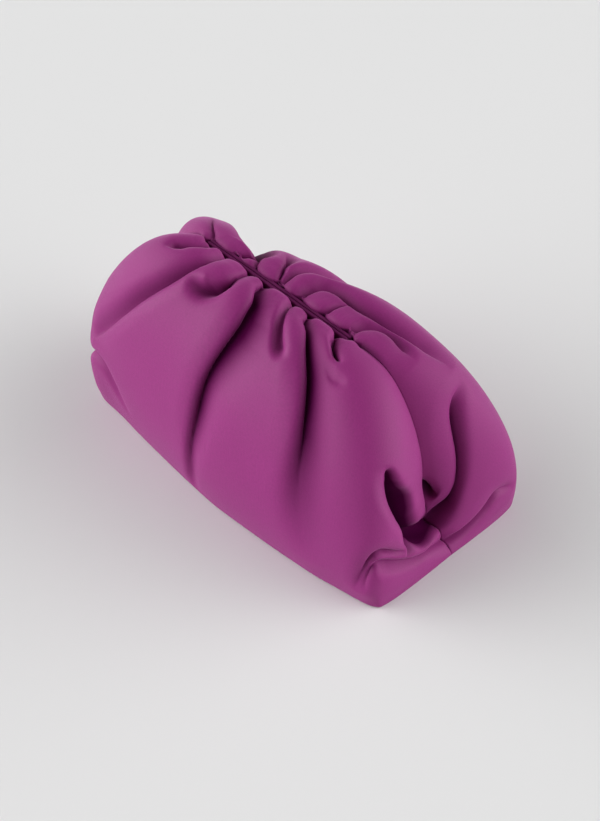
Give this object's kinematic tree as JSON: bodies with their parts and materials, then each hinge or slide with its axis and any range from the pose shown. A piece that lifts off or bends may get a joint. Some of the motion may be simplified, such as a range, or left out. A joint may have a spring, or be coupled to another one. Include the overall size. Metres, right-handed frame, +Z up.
{
  "type": "clutch bag",
  "caption": "Soft gathered pouch clutch of thick satin-faced cloth, standing on its flat base, its slit mouth shut by slim cloth-covered frame bars.",
  "frame": {"origin": "under the middle of the bag's box, on the surface that the bag stands on", "axes": "+X along the bag to its right end as seen from the front, +Y to the back, +Z up"},
  "size_m": [0.3044, 0.165, 0.1568],
  "materials": {
    "plum_satin": "soft satin sheen",
    "bar_cover": "soft satin sheen"
  },
  "bodies": {
    "root": {"front_panel": "plum_satin", "back_panel": "plum_satin", "front_frame_bar": "bar_cover", "back_frame_bar": "bar_cover"}
  },
  "joints": []
}
